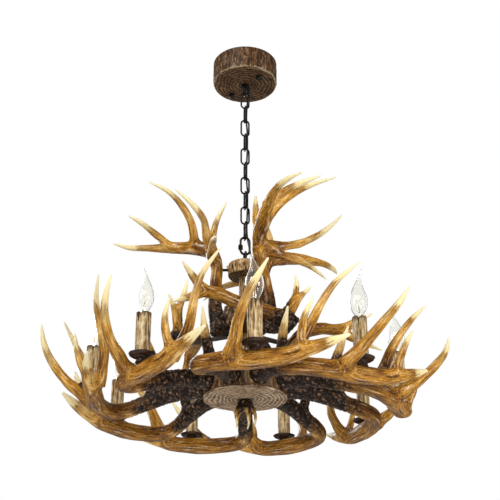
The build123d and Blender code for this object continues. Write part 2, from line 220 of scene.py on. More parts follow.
# Painted light and wear: hollows go dark as painted shade, and raised places go pale as rubbed wear with a
# painted highlight.
def paintedLightAndWearGroup():
    tree, given, result = groupOf("paintedLightAndWear", [
        ("Color", "NodeSocketColor", "INPUT", None),
        ("Relief", "NodeSocketFloat", "INPUT", 0.5),
        ("PaintedShade", "NodeSocketColor", "INPUT", (0.01, 0.008, 0.006, 1)),
        ("RubbedAndHighlight", "NodeSocketColor", "INPUT", (0.7, 0.55, 0.3, 1)),
        ("Amount", "NodeSocketFloat", "INPUT", 0.5),
        ("Color", "NodeSocketColor", "OUTPUT", None),
    ])
    relief, amount = given.outputs["Relief"], given.outputs["Amount"]
    # Painted shade darkens the hollows; raised places go pale as rubbed wear with a painted highlight.
    low = calc(tree, "MULTIPLY", spread(tree, relief, 0.45, 0.1), amount)
    high = calc(tree, "MULTIPLY", spread(tree, relief, 0.6, 0.95), amount)
    dark = mixColour(tree, low, given.outputs["Color"], given.outputs["PaintedShade"])
    feed(tree, result, {"Color": mixColour(tree, high, dark, given.outputs["RubbedAndHighlight"])})
    return tree


grain = grainGroup()
paintedLightAndWear = paintedLightAndWearGroup()


def useGroup(tree, group, values):
    return node(tree, "ShaderNodeGroup", values, node_tree=group).outputs


# Mixes in painted shade on hollows, and rubbed wear with a painted highlight on raised places.
def withPaintedLightAndWear(tree, colour, relief, look, amount):
    values = {"Color": colour, "Relief": relief, "PaintedShade": (*look["paintedShade"], 1), "RubbedAndHighlight": (*look["rubbedAndHighlight"], 1),
              "Amount": amount}
    return useGroup(tree, paintedLightAndWear, values)["Color"]


# A material whose streaks follow the piece; grain is (across, along), per millimetre.
def grainedMaterial(name, look):
    material, tree, shader = startMaterial(name)
    flow = attribute(tree, "flow", "Vector")
    relief = attribute(tree, "relief", "Fac")
    across, along = look["grain"]
    streaks = useGroup(tree, grain, {"Flow": flow, "Across": across, "Along": along})
    feed(tree, shader, {"Roughness": spread(tree, streaks["Fine"], 0.3, 0.7, *look["roughness"]),
                        "Specular IOR Level": look["specular"]})
    return material, tree, shader, flow, relief, streaks


antlerFinish = {
    "stain": [(0.18, (0.026, 0.007, 0.001)), (0.34, (0.125, 0.04, 0.002)), (0.48, (0.35, 0.145, 0.01)),
              (0.62, (0.59, 0.3, 0.04)), (0.8, (0.87, 0.62, 0.25))],
    # The burr's dark colour by relief, from painted shade in its hollows to a painted highlight on its pearls.
    "burr": [(0.15, (0.004, 0.002, 0.001)), (0.45, (0.036, 0.016, 0.007)), (0.75, (0.11, 0.058, 0.026)),
             (0.95, (0.27, 0.165, 0.085))],
    "tip": [(0.0, (0.58, 0.37, 0.12)), (0.35, (0.82, 0.67, 0.34)), (0.8, (0.92, 0.84, 0.6))],
    "band": (0.11, 0.034, 0.005),
    # Painted shade for hollows, and a pale colour for rubbed wear with a painted highlight on raised places.
    "paintedShade": (0.022, 0.006, 0.001),
    "rubbedAndHighlight": (0.86, 0.7, 0.44),
    # Colour of the painted glints on the burr's pearls.
    "speck": (0.66, 0.58, 0.48),
    "coat": 0.25,
    "coatRoughness": 0.15,
    "burrCoat": 0.02,
    "grain": (0.34, 0.022),
    "roughness": (0.34, 0.56),
    "specular": 0.16,
    # How strongly the painted shade, the painted highlight and the wear show.
    "paintedLightAndWear": 0.6,
    "bump": (0.55, 0.001),    # strength and distance
}


def antlerMaterial():
    look = antlerFinish
    material, tree, shader, flow, relief, streaks = grainedMaterial("castAntler", look)
    tip = attribute(tree, "tip", "Fac")
    burr = attribute(tree, "burr", "Fac")
    broad = noiseOf(tree, stretched(tree, flow, (0.045, 0.045, 0.012)), 1.0, 3.0)
    mottle = noiseOf(tree, stretched(tree, flow, (0.55, 0.55, 0.2)), 1.0, 3.0, 0.7)
    paler = spread(tree, tip, -2.6, 0.3, -0.09, 0.16)
    tone = blend(tree, (streaks["Streak"], 0.65), (broad, 0.85), (streaks["Fine"], 0.65), (mottle, 0.45),
                 (paler, 1.0), offset=-0.79)
    # Painted shade in the hollows, and rubbed wear with a painted highlight on raised places.
    body = withPaintedLightAndWear(tree, ramp(tree, tone, look["stain"]), relief, look, look["paintedLightAndWear"])
    # A dark band stands before each pale tip.
    edge = blend(tree, (tip, 1.0), (streaks["Streak"], 1.0), (streaks["Fine"], 0.5), offset=-0.75)
    band = calc(tree, "MULTIPLY", spread(tree, edge, -0.6, 0.0), 0.5)
    body = mixColour(tree, band, body, look["band"])
    cream = ramp(tree, blend(tree, (tip, 0.45), (streaks["Fine"], 0.8), offset=-0.2), look["tip"])
    body = mixColour(tree, spread(tree, edge, 0.0, 0.16), body, cream)
    # The burr end is dark, darker in painted shade between its pearls and paler in a painted highlight on their
    # tops, with painted glints as pale specks.
    speck = noiseOf(tree, stretched(tree, flow, (1.0, 1.0, 0.45)), 1.0, 4.0, 0.8)
    paintedGlint = calc(tree, "MULTIPLY", spread(tree, speck, 0.56, 0.66), spread(tree, relief, 0.35, 0.7))
    pearl = mixColour(tree, calc(tree, "MULTIPLY", paintedGlint, 0.7), ramp(tree, relief, look["burr"]), look["speck"])
    feed(tree, shader, {"Base Color": mixColour(tree, burr, body, pearl),
                        "Coat Weight": spread(tree, burr, 0.0, 0.8, look["coat"], look["burrCoat"]),
                        "Coat Roughness": look["coatRoughness"]})
    bump(tree, shader, calc(tree, "ADD", streaks["Fine"], calc(tree, "MULTIPLY", speck, burr)), *look["bump"])
    return material


barkFinish = {
    "dark": [(0.28, (0.008, 0.003, 0.001)), (0.42, (0.036, 0.015, 0.005)), (0.55, (0.105, 0.05, 0.018)),
             (0.72, (0.28, 0.16, 0.07))],
    "golden": [(0.28, (0.018, 0.006, 0.001)), (0.42, (0.09, 0.038, 0.008)), (0.55, (0.27, 0.14, 0.04)),
               (0.72, (0.62, 0.43, 0.2))],
    # Painted shade for hollows, and a pale colour for rubbed wear with a painted highlight on raised places.
    "paintedShade": (0.005, 0.002, 0.001),
    "rubbedAndHighlight": (0.74, 0.58, 0.38),
    "grain": (0.3, 0.045),
    "roughness": (0.46, 0.66),
    "specular": 0.16,
    "coat": (0.06, 0.3),       # weight and roughness
    "bump": (0.4, 0.0006),
}


# A higher lift makes it paler.
def barkMaterial(name, tones, lift, paintedLightAndWearAmount):
    look = barkFinish
    material, tree, shader, _, relief, streaks = grainedMaterial(name, look)
    tone = blend(tree, (streaks["Streak"], 0.9), (streaks["Fine"], 0.6), offset=lift - 0.25)
    weight, roughness = look["coat"]
    # Painted shade in the grooves, and rubbed wear with a painted highlight on the ridges.
    feed(tree, shader, {"Base Color": withPaintedLightAndWear(tree, ramp(tree, tone, look[tones]), relief, look, paintedLightAndWearAmount),
                        "Coat Weight": weight, "Coat Roughness": roughness})
    bump(tree, shader, streaks["Fine"], *look["bump"])
    return material


logFaces = {
    "canopyFace": [(0.25, (0.008, 0.004, 0.002)), (0.5, (0.06, 0.028, 0.01)), (0.78, (0.21, 0.12, 0.055))],
    "plateFace": [(0.25, (0.04, 0.018, 0.005)), (0.5, (0.24, 0.15, 0.085)), (0.78, (0.56, 0.43, 0.29))],
}


def logFaceMaterial(name):
    material, tree, shader = startMaterial(name)
    point = objectPoint(tree)
    speckle = noiseOf(tree, point, 900.0, 3.0)
    blotch = noiseOf(tree, point, 30.0, 4.0)
    tone = blend(tree, (attribute(tree, "relief", "Fac"), 0.55), (blotch, 0.45), (speckle, 0.5), offset=-0.25)
    feed(tree, shader, {"Base Color": ramp(tree, tone, logFaces[name]),
                        "Roughness": spread(tree, speckle, 0.3, 0.7, 0.5, 0.7), "Specular IOR Level": 0.18})
    bump(tree, shader, speckle, 0.3, 0.0004)
    return material


# Finishes of one substance: two colours that mix in patches this many to the metre.
plainFinishes = {
    "blackIron": {"low": (0.002, 0.002, 0.002), "high": (0.008, 0.008, 0.008), "patches": 220,
                  "roughness": 0.36, "specular": 0.25, "bump": (0.25, 0.0003)},
    "zincSteel": {"low": (0.42, 0.42, 0.4), "high": (0.6, 0.6, 0.58), "patches": 160,
                  "roughness": 0.34, "metallic": 1.0},
    "trayRust": {"low": (0.008, 0.004, 0.002), "high": (0.055, 0.024, 0.009), "patches": 150,
                 "roughness": 0.42, "specular": 0.3, "bump": (0.3, 0.0005)},
    "socketMoulding": {"low": (0.018, 0.016, 0.014), "high": (0.04, 0.034, 0.028), "patches": 120,
                       "roughness": 0.5},
    "capMetal": {"low": (0.6, 0.52, 0.36), "high": (0.78, 0.7, 0.52), "patches": 300,
                 "roughness": 0.28, "metallic": 1.0},
    "cordSheath": {"low": (0.006, 0.006, 0.006), "high": (0.018, 0.018, 0.018), "patches": 400,
                   "roughness": 0.5},
    "terminalMoulding": {"low": (0.7, 0.69, 0.65), "high": (0.84, 0.83, 0.79), "patches": 90,
                         "roughness": 0.45},
}


def plainMaterial(name):
    look = plainFinishes[name]
    material, tree, shader = startMaterial(name)
    point = objectPoint(tree)
    patches = noiseOf(tree, point, look["patches"], 5.0, 0.6)
    dull = look["roughness"]
    feed(tree, shader, {"Base Color": ramp(tree, patches, [(0.3, look["low"]), (0.7, look["high"])]),
                        "Roughness": spread(tree, patches, 0.3, 0.7, dull - 0.08, dull + 0.08),
                        "Metallic": look.get("metallic", 0.0), "Specular IOR Level": look.get("specular", 0.4)})
    bump(tree, shader, noiseOf(tree, point, look["patches"] * 6, 3.0), *look.get("bump", (0.15, 0.0002)))
    return material


candleWax = {
    "height": 83,
    "start": -5 / 83,              # makes the height 0 at the candle's foot
    "tones": [(0.3, (0.11, 0.042, 0.006)), (0.47, (0.37, 0.24, 0.095)), (0.66, (0.7, 0.56, 0.34))],
    "drip": (0.04, 0.014, 0.003),
    "ridge": (0.78, 0.66, 0.45),
    "grain": (0.24, 0.03),
    "roughness": (0.4, 0.58),
    "specular": 0.2,
    "bump": (0.3, 0.0005),
}


def candleMaterial():
    look = candleWax
    material, tree, shader, flow, relief, streaks = grainedMaterial("candleWax", look)
    tone = blend(tree, (streaks["Streak"], 1.0), (noiseOf(tree, flow, 0.09, 2.0), 0.5), offset=-0.25)
    body = ramp(tree, tone, look["tones"])
    height = node(tree, "ShaderNodeSeparateXYZ", {"Vector": flow}).outputs["Z"]
    height = blend(tree, (height, 1 / look["height"]), offset=look["start"])
    drip = calc(tree, "MULTIPLY", spread(tree, relief, 0.4, 0.18), spread(tree, height, 0.1, 0.9, 0.45, 0.95))
    body = mixColour(tree, drip, body, look["drip"])
    ridge = calc(tree, "MULTIPLY", spread(tree, relief, 0.6, 0.9), 0.6)
    body = mixColour(tree, ridge, body, look["ridge"])
    jagged = blend(tree, (height, 1.0), (streaks["Streak"], 0.6), offset=-0.3)
    rim = calc(tree, "MULTIPLY", spread(tree, jagged, 0.86, 0.98), 0.8)
    feed(tree, shader, {"Base Color": mixColour(tree, rim, body, look["drip"])})
    bump(tree, shader, streaks["Fine"], *look["bump"])
    return material


lampFinish = {
    # The glass's tint, with painted shade that darkens it where it turns away from the view.
    "tintWithPaintedEdgeShade": [(0.25, (0.955, 0.95, 0.915)), (0.55, (0.84, 0.85, 0.85)), (0.9, (0.28, 0.31, 0.34))],
    "bend": 1.45,
    "filament": (0.9, 0.78, 0.45, 1),
    "glow": [(0.3, (1.0, 0.8, 0.42)), (0.7, (1.0, 0.9, 0.62))],
    "glowStrength": 1.2,
}


def glassMaterial():
    look = lampFinish
    material, tree, shader = startMaterial("lampGlass")
    # The glass goes grey, then dark, where it turns away from the view: painted shade on its edges.
    rim = node(tree, "ShaderNodeLayerWeight", {"Blend": 0.42}).outputs["Facing"]
    cloud = noiseOf(tree, objectPoint(tree), 40.0, 2.0)
    feed(tree, shader, {"Base Color": ramp(tree, rim, look["tintWithPaintedEdgeShade"]), "Transmission Weight": 1.0,
                        "IOR": look["bend"], "Roughness": spread(tree, cloud, 0.3, 0.7, 0.01, 0.05)})
    return material


def filamentMaterial():
    look = lampFinish
    material, tree, shader = startMaterial("warmFilament")
    glow = ramp(tree, noiseOf(tree, objectPoint(tree), 300.0), look["glow"])
    feed(tree, shader, {"Base Color": look["filament"], "Emission Color": glow,
                        "Emission Strength": look["glowStrength"]})
    return material


antlerLook = antlerMaterial()
canopyBark = barkMaterial("canopyBark", "dark", -0.02, 0.3)
stemBark = barkMaterial("stemBark", "golden", 0.09, 0.85)
hubCarving = barkMaterial("hubCarving", "dark", 0.06, 0.6)
canopyFace = logFaceMaterial("canopyFace")
plateFace = logFaceMaterial("plateFace")
plain = {name: plainMaterial(name) for name in plainFinishes}
candleLook = candleMaterial()
glassLook = glassMaterial()
filamentLook = filamentMaterial()
print("materials made:", len(bpy.data.materials))


# Each branch is its pale length and a row of (radius, angle, height, thickness) points.
lowerAntler = {
    "branches": [
        (46, [(81, -20, 28, 22), (97, -20, 28, 20), (145, -20, 22, 17.5), (200, -20, 6, 16.5),
              (245, -20, -8, 16.5), (275, -16, -16, 17), (293, -6, -20, 17.5), (307, 6, -21, 17.5),
              (325, 15, -15, 15), (350, 23, 0, 11), (374, 29.5, 17, 3)]),
        (60, [(310, -5, -14, 15), (335, -3, 5, 12), (362, -2, 25, 10), (390, 0, 55, 8.5),
              (409, 2.5, 85, 6.5), (420, 5.5, 122, 2)]),
        (66, [(309, 15, -14, 14), (310, 18.5, 15, 11), (315, 21.5, 45, 9.5), (332, 24, 82, 8),
              (355, 27.5, 122, 6), (378, 33.5, 162, 2)]),
        (34, [(330, 17, -10, 10), (346, 16.5, 18, 8), (360, 17, 48, 6), (371, 19, 76, 2)]),
        (40, [(186, -20, 8, 13), (200, -20, 36, 11.5), (218, -20.5, 75, 8), (236, -20, 114, 2)]),
    ],
    "burrEnd": 120,        # the dark pearled length, from the hub outwards
    "burrFade": 85,
    "darkBranches": (4,),  # the brow tine is dark and pearled too
    "flare": 1.5,          # how far the coronet at the burr end stands out
}
topAntler = {
    "branches": [
        (62, [(58, -62, 134, 19), (63, -66, 160, 17.5), (66, -74, 205, 14.5), (63, -83, 257, 13),
              (61, -91, 295, 13), (73, -96, 334, 15), (106, -100, 350, 15.5), (140, -103, 358, 14),
              (172, -104, 363, 12), (222, -104, 369, 8), (264, -102, 370, 6), (298, -98, 374, 2)]),
        (72, [(112, -99, 352, 11), (118, -84, 396, 9), (145, -73, 426, 7.5), (183, -66, 443, 5.5),
              (230, -63, 449, 2)]),
        (74, [(70, -88, 322, 11), (102, -52, 330, 9.5), (141, -38, 354, 8), (179, -38, 376, 6),
              (216, -42, 401, 2)]),
        (62, [(168, -103, 364, 10), (200, -95, 386, 8), (227, -88, 399, 6), (257, -83, 407, 2)]),
        (50, [(66, -92, 314, 11), (84, -62, 306, 9.5), (108, -40, 306, 8), (140, -27, 303, 6),
              (182, -19, 284, 2)]),
        (52, [(73, -96, 336, 11.5), (74, -101, 375, 9), (64, -99, 414, 6.5), (41, -86, 456, 2)]),
    ],
    "burrEnd": 52,
    "burrFade": 70,
    "darkBranches": (),
    "flare": 3,
}
crossAntler = {
    "branches": [
        (36, [(148, 40, 112, 20), (143, 34, 124, 18), (134, 20, 140, 15), (128, 5, 152, 13.5),
              (134, -10, 163, 13.5), (165, -19, 167, 13), (200, -23, 162, 12.5), (236, -25, 178, 8),
              (273, -26, 197, 2)]),
        (34, [(200, -22.5, 160, 11), (240, -25.5, 135, 8), (286, -28, 110, 2)]),
        (44, [(140, 33, 132, 12), (142, 44, 178, 8), (136, 51, 214, 6), (131, 53, 244, 2)]),
        (26, [(140, 37, 136, 11), (150, 45, 176, 8), (162, 50, 196, 5), (170, 52, 207, 2)]),
    ],
    "burrEnd": 40,
    "burrFade": 36,
    "darkBranches": (2,),
    "flare": 4,
}
antlerSurface = {
    "voxel": 1.9,
    "sampleStep": 1.5,      # along a branch
    "ringSides": 18,
    "softening": 4,         # smoothing passes over the whole skin, and how far each one goes
    "softPace": 0.6,
    "joinPasses": 45,       # and over the corners between branches
    "web": 22,              # how near two branches are when skin fills the corner between them
    "flute": 0.5,           # heights of the relief, mm
    "swell": 1.0,
    "pearl": 2.0,
    "pearlSize": 5.0,
    "fluteGrain": (0.36, 0.36, 0.022),    # how close its waves are across and along a branch, per mm
    "fineGrain": (0.8, 0.8, 0.05),
    "swellGrain": 0.035,
    "raggedGrain": 0.045,
    "flareAt": 7,           # where the coronet stands on its branch, and its width
    "flareWidth": 5,
    "leastThick": 1.2,
    "mixReach": 4.0,        # how softly the grain of one branch goes over into the next
    "tineDark": 1.15,       # a dark tine ends this many tip lengths from its point
    "tineFade": 22,
    "webEase": 0.7,
    "evenPace": 0.6,
    "evenFrom": 0.8,        # skin raised this much at a join is smoothed in full
    "burrRagged": 0.6,      # how ragged the end of the dark length is
    "leastRelief": 0.12,    # what is left of the relief on a polished tip
}


# A smooth line through the knots; countOf gives the number of steps from one knot to the next.
def smoothLine(knots, countOf):
    padded = np.vstack([2 * knots[0] - knots[1], knots, 2 * knots[-1] - knots[-2]])
    out = []
    for before, start, end, after in zip(padded, padded[1:], padded[2:], padded[3:]):
        count = countOf(start, end)
        square = 2 * before - 5 * start + 4 * end - after
        cube = 3 * start - before - 3 * end + after
        for t in np.arange(count) / count:
            out.append(0.5 * (2 * start + (end - before) * t + square * t ** 2 + cube * t ** 3))
    out.append(padded[-2])
    return np.array(out)


def throughPoints(rows, step):
    knots = np.array([[*polar(r, a, z), t] for r, a, z, t in rows], float)
    return smoothLine(knots, lambda start, end: max(2, int(np.linalg.norm((end - start)[:3]) / step)))


def framesAlong(line, across):
    along = np.gradient(line, axis=0)
    along /= np.linalg.norm(along, axis=1)[:, None]
    if abs(along[0].dot(across)) > 0.95:
        across = np.array((1.0, 0.0, 0.0)) if abs(along[0][0]) < 0.7 else np.array((0.0, 1.0, 0.0))
    sides = []
    for direction in along:
        across = across - direction * across.dot(direction)
        across = across / np.linalg.norm(across)
        sides.append(across)
    sides = np.array(sides)
    return sides, np.cross(along, sides)


def sampleAntler(spec):
    look = antlerSurface
    samples = []
    trunk = None
    for index, (tip, rows) in enumerate(spec["branches"]):
        points = throughPoints(rows, look["sampleStep"])
        line, thick = points[:, :3], np.maximum(points[:, 3], look["leastThick"])
        gaps = np.linalg.norm(np.diff(line, axis=0), axis=1)
        lengths = np.concatenate([[0], np.cumsum(gaps)])
        start, across = 0.0, np.array((0.0, 0.0, 1.0))
        if trunk is not None:
            nearest = np.argmin(np.linalg.norm(trunk["line"] - line[0], axis=1))
            start, across = trunk["along"][nearest], trunk["sides"][nearest]
        else:
            thick = thick + spec["flare"] * np.exp(-((lengths - look["flareAt"]) / look["flareWidth"]) ** 2)
        sides, ups = framesAlong(line, across)
        sample = {"line": line, "thick": thick, "along": start + lengths, "left": lengths[-1] - lengths,
                  "own": lengths, "sides": sides, "ups": ups, "tip": tip, "index": index}
        samples.append(sample)
        trunk = trunk or sample
    return samples


# The faces between pairs of rings, which all have the same number of points.
def ringFaces(pairs, sides):
    faces = []
    for ring, after in pairs:
        for k in range(sides):
            beside = (k + 1) % sides
            faces.append((ring * sides + k, ring * sides + beside, after * sides + beside, after * sides + k))
    return faces


# The faces of a closed tube.
def tubeFaces(rings, sides):
    faces = ringFaces([(ring, ring + 1) for ring in range(rings - 1)], sides)
    return faces + [tuple(reversed(range(sides))), tuple(range((rings - 1) * sides, rings * sides))]


def anglesOf(sides):
    return np.arange(sides) * 2 * math.pi / sides


def tubeSkin(sample, sides):
    points = []
    angles = anglesOf(sides)
    for centre, thick, side, up in zip(sample["line"], sample["thick"], sample["sides"], sample["ups"]):
        points.extend(centre + thick * (math.cos(a) * side + math.sin(a) * up) for a in angles)
    return points, tubeFaces(len(sample["line"]), sides)


def applied(piece):
    graph = bpy.context.evaluated_depsgraph_get()
    mesh = bpy.data.meshes.new_from_object(piece.evaluated_get(graph))
    bpy.data.objects.remove(piece)
    return mesh


def fusedSkin(name, samples, voxel):
    look = antlerSurface
    points, faces = [], []
    for sample in samples:
        more, moreFaces = tubeSkin(sample, look["ringSides"])
        faces.extend(tuple(i + len(points) for i in face) for face in moreFaces)
        points.extend(more)
    raw = newObject(name, meshFrom(name, points, faces))
    skin = raw.modifiers.new("skin", "REMESH")
    skin.mode = "VOXEL"
    skin.voxel_size = voxel
    soft = raw.modifiers.new("soft", "SMOOTH")
    soft.factor = look["softPace"]
    soft.iterations = look["softening"]
    return applied(raw)


def vectorsOf(items, field):
    values = np.empty(len(items) * 3)
    items.foreach_get(field, values)
    return values.reshape(-1, 3)


def coordinatesOf(mesh):
    return vectorsOf(mesh.vertices, "co"), vectorsOf(mesh.vertices, "normal")


def nearestOn(sample, points):
    best = np.full(len(points), 1e9)
    pick = np.zeros(len(points), int)
    for start in range(0, len(sample["line"]), 40):
        part = sample["line"][start:start + 40]
        gap = np.linalg.norm(points[:, None, :] - part[None], axis=2) - sample["thick"][start:start + 40]
        near = gap.argmin(axis=1)
        value = gap[np.arange(len(points)), near]
        closer = value < best
        best[closer] = value[closer]
        pick[closer] = near[closer] + start
    return best, pick


def branchData(spec, samples, points):
    look = antlerSurface
    gaps, flows, tips, darks, aways = [], [], [], [], []
    for sample in samples:
        gap, pick = nearestOn(sample, points)
        offset = points - sample["line"][pick]
        across = np.einsum("ij,ij->i", offset, sample["sides"][pick])
        upward = np.einsum("ij,ij->i", offset, sample["ups"][pick])
        flows.append(np.stack([across, upward, sample["along"][pick]], axis=1))
        tips.append(1 - sample["left"][pick] / sample["tip"])
        if sample["index"] == 0:
            dark = 1 - (sample["own"][pick] - spec["burrEnd"]) / spec["burrFade"]
        elif sample["index"] in spec["darkBranches"]:
            dark = (sample["left"][pick] - look["tineDark"] * sample["tip"]) / look["tineFade"]
        else:
            dark = np.full(len(points), -1.0)
        gaps.append(gap)
        aways.append(offset / np.linalg.norm(offset, axis=1)[:, None])
        darks.append(np.clip(dark, -1, 1.5))
    gaps = np.array(gaps)
    share = np.exp(-(gaps - gaps.min(axis=0)) / look["mixReach"])
    share /= share.sum(axis=0)
    flow = np.einsum("bn,bnk->nk", share, np.array(flows))
    tip = np.einsum("bn,bn->n", share, np.clip(np.array(tips), -3, 1))
    dark = np.einsum("bn,bn->n", share, np.array(darks))
    return flow, tip, dark, webbing(gaps, np.array(aways))


# How far the skin rises to round the corner between two branches.
def webbing(gaps, aways):
    if len(gaps) < 2:
        return np.zeros(gaps.shape[1])
    order = np.argsort(gaps, axis=0)
    every = np.arange(gaps.shape[1])
    first, second = order[0], order[1]
    reach = antlerSurface["web"]
    near = np.clip(reach - (gaps[second, every] - gaps[first, every]), 0, reach)
    apart = 1 - np.einsum("nk,nk->n", aways[first, every], aways[second, every])
    return near ** 2 / (4 * reach) * np.clip(apart / antlerSurface["webEase"], 0, 1)


# Noise from -1 to 1; scale is one number, or one for each direction, and offset picks another patch of it.
def wavy(points, scale, offset=0.0):
    scaled = points * np.array(scale) + offset
    return np.array([noise.noise(Vector(p)) for p in scaled])


# Round knobs: 1 on the top of each and 0 between them.
def pearls(points, size):
    nearest = np.array([noise.voronoi(Vector(p))[0][0] for p in points / size])
    return 1 - np.clip(nearest / 0.62, 0, 1) ** 2


def setLayer(mesh, name, values, kind="FLOAT"):
    layer = mesh.attributes.new(name, kind, "POINT")
    field = "vector" if kind == "FLOAT_VECTOR" else "value"
    layer.data.foreach_set(field, np.asarray(values, np.float32).ravel())


# Evens out the skin where weight is above 0.
def evened(mesh, weight, passes):
    ends = np.empty(len(mesh.edges) * 2, np.int32)
    mesh.edges.foreach_get("vertices", ends)
    a, b = ends.reshape(-1, 2).T
    points = vectorsOf(mesh.vertices, "co")
    count = len(points)
    move = weight[:, None] * antlerSurface["evenPace"]
    share = move / (np.bincount(a, minlength=count) + np.bincount(b, minlength=count))[:, None]
    for _ in range(passes):
        total = [np.bincount(a, points[b, k], count) + np.bincount(b, points[a, k], count) for k in range(3)]
        points = points * (1 - move) + np.stack(total, axis=1) * share
    mesh.vertices.foreach_set("co", points.ravel())
    mesh.update()


def antlerMesh(name, spec):
    look = antlerSurface
    samples = sampleAntler(spec)
    mesh = fusedSkin(name, samples, spec.get("voxel", look["voxel"]))
    points, normals = coordinatesOf(mesh)
    web = branchData(spec, samples, points)[3]
    mesh.vertices.foreach_set("co", (points + normals * web[:, None]).ravel())
    mesh.update()
    evened(mesh, np.clip(web / look["evenFrom"], 0, 1), look["joinPasses"])
    points, normals = coordinatesOf(mesh)
    flow, tip, dark = branchData(spec, samples, points)[:3]
    burr = np.clip(dark + look["burrRagged"] * wavy(points, look["raggedGrain"], 9.1), 0, 1)
    bare = np.clip(1 - (tip + 0.3) / 0.5, look["leastRelief"], 1)
    flutes = wavy(flow, look["fluteGrain"]) + 0.6 * wavy(flow, look["fineGrain"], 4.3)
    swell = wavy(points, look["swellGrain"], 2.2)
    size = look["pearlSize"]
    knobs = 0.6 * pearls(points, size) + 0.5 * pearls(points + 40, 1.7 * size)
    lift = bare * (look["flute"] * flutes + look["swell"] * swell) * (1 - 0.5 * burr)
    lift += look["pearl"] * burr * (knobs - 0.45)
    points = points + normals * lift[:, None]
    mesh.vertices.foreach_set("co", (points * mm).ravel())
    relief = (1 - burr) * (0.5 + 0.55 * flutes) + burr * (knobs - 0.05)
    setLayer(mesh, "flow", flow, "FLOAT_VECTOR")
    setLayer(mesh, "tip", tip)
    setLayer(mesh, "burr", burr)
    setLayer(mesh, "relief", np.clip(relief, 0, 1))
    mesh.materials.clear()
    mesh.materials.append(antlerLook)
    smoothShade(mesh)
    print(name, "vertices", len(mesh.vertices))
    return mesh


def turnedAbout(angle):
    return Matrix.Rotation(math.radians(angle), 4, "Z")


def settle(piece, body, finish, *nodes):
    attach(piece, body)
    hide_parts(*nodes)


def placeAntlers(stem, mesh, turns):
    for number, turn in enumerate(turns, 1):
        turned = mesh.copy()
        turned.transform(turnedAbout(turn))
        settle(newObject(f"{stem}_{number}_skin", turned), "fixture", "antler", f"{stem}_{number}")


lowerTurns = [step * lightStep for step in range(place["lightCount"])]
placeAntlers("lower_antler", antlerMesh("lowerAntlerSkin", lowerAntler), lowerTurns)
placeAntlers("top_antler", antlerMesh("topAntlerSkin", topAntler), (0, 120, 231))
placeAntlers("cross_antler", antlerMesh("crossAntlerSkin", crossAntler), (0, 120, 240))
print("antlers made")


def densePath(profile, step):
    out = []
    for start, end in zip(profile, profile[1:] + profile[:1]):
        start, end = np.array(start, float), np.array(end, float)
        count = max(1, round(np.linalg.norm(end - start) / step))
        out.extend(start + (end - start) * t / count for t in range(count))
    return np.array(out)


# A ring-shaped closed skin from a closed (radius, height) profile, in millimetres.
def latheMesh(name, profile, step, sides):
    path = densePath(profile, step)
    angles = anglesOf(sides)
    rings = len(path)
    points = np.empty((rings, sides, 3))
    points[..., 0] = path[:, :1] * np.cos(angles)
    points[..., 1] = path[:, :1] * np.sin(angles)
    points[..., 2] = path[:, 1:]
    faces = ringFaces([(ring, (ring + 1) % rings) for ring in range(rings)], sides)
    mesh = meshFrom(name, points.reshape(-1, 3), faces)
    outward(mesh)
    return mesh


def outward(mesh):
    shape = bmesh.new()
    shape.from_mesh(mesh)
    bmesh.ops.recalc_face_normals(shape, faces=shape.faces)
    shape.to_mesh(mesh)
    shape.free()


# The mesh less round-ended upright holes, each (x, y, z low, z high, radius, half run, turn).
def drilled(mesh, holes):
    sides = 48
    base = newObject(mesh.name + "Base", mesh)
    cutters = []
    for x, y, low, high, radius, run, turn in holes:
        spin = turnedAbout(turn) @ Matrix.Translation((x, y, 0))
        outline = [(radius * math.cos(a), radius * math.sin(a) + (run if math.sin(a) >= 0 else -run))
                   for a in anglesOf(sides)]
        points = [spin @ Vector((a, b, z)) for z in (low, high) for a, b in outline]
        cutters.append(newObject("cutter", meshFrom("cutter", points, tubeFaces(2, sides))))
        cut = base.modifiers.new("cut", "BOOLEAN")
        cut.object = cutters[-1]
        cut.solver = "EXACT"
    bpy.context.view_layer.update()
    result = applied(base)
    for cutter in cutters:
        bpy.data.objects.remove(cutter)
    return result


# Raises the skin by liftOf(points, normals), which gives the height in millimetres and the relief.
def sculpt(mesh, liftOf, looks, lookOf=None):
    points, normals = coordinatesOf(mesh)
    lift, relief = liftOf(points, normals)
    setLayer(mesh, "flow", points, "FLOAT_VECTOR")
    setLayer(mesh, "relief", np.clip(relief, 0, 1))
    moved = points + normals * lift[:, None]
    mesh.vertices.foreach_set("co", (moved * mm).ravel())
    mesh.materials.clear()
    for look in looks:
        mesh.materials.append(look)
    if lookOf:
        chosen = lookOf(vectorsOf(mesh.polygons, "center"), vectorsOf(mesh.polygons, "normal"))
        mesh.polygons.foreach_set("material_index", chosen.astype(np.int32))
    smoothShade(mesh)
    return mesh


def barkLift(height, groove, run):
    def lift(points, normals):
        side = np.clip(1 - np.abs(normals[:, 2]) * 1.4, 0, 1)
        ridge = 1 - 2 * np.abs(wavy(points, (groove, groove, run)))
        small = wavy(points, (0.55, 0.55, 0.1), 7.0)
        shape = 0.75 * (ridge - 0.6) + 0.5 * small
        return height * side * shape - 0.15 * height, 0.5 + 0.75 * shape * side
    return lift


def radiusOf(points):
    return np.hypot(points[:, 0], points[:, 1])


# The same relief, only on the skin further out than limit.
def outerOnly(lift, limit):
    def outer(points, normals):
        height, relief = lift(points, normals)
        keep = radiusOf(points) > limit
        return height * keep, np.where(keep, relief, 0.5)
    return outer


def flatness(normals):
    return np.clip(np.abs(normals[:, 2]) * 2 - 1, 0, 1)


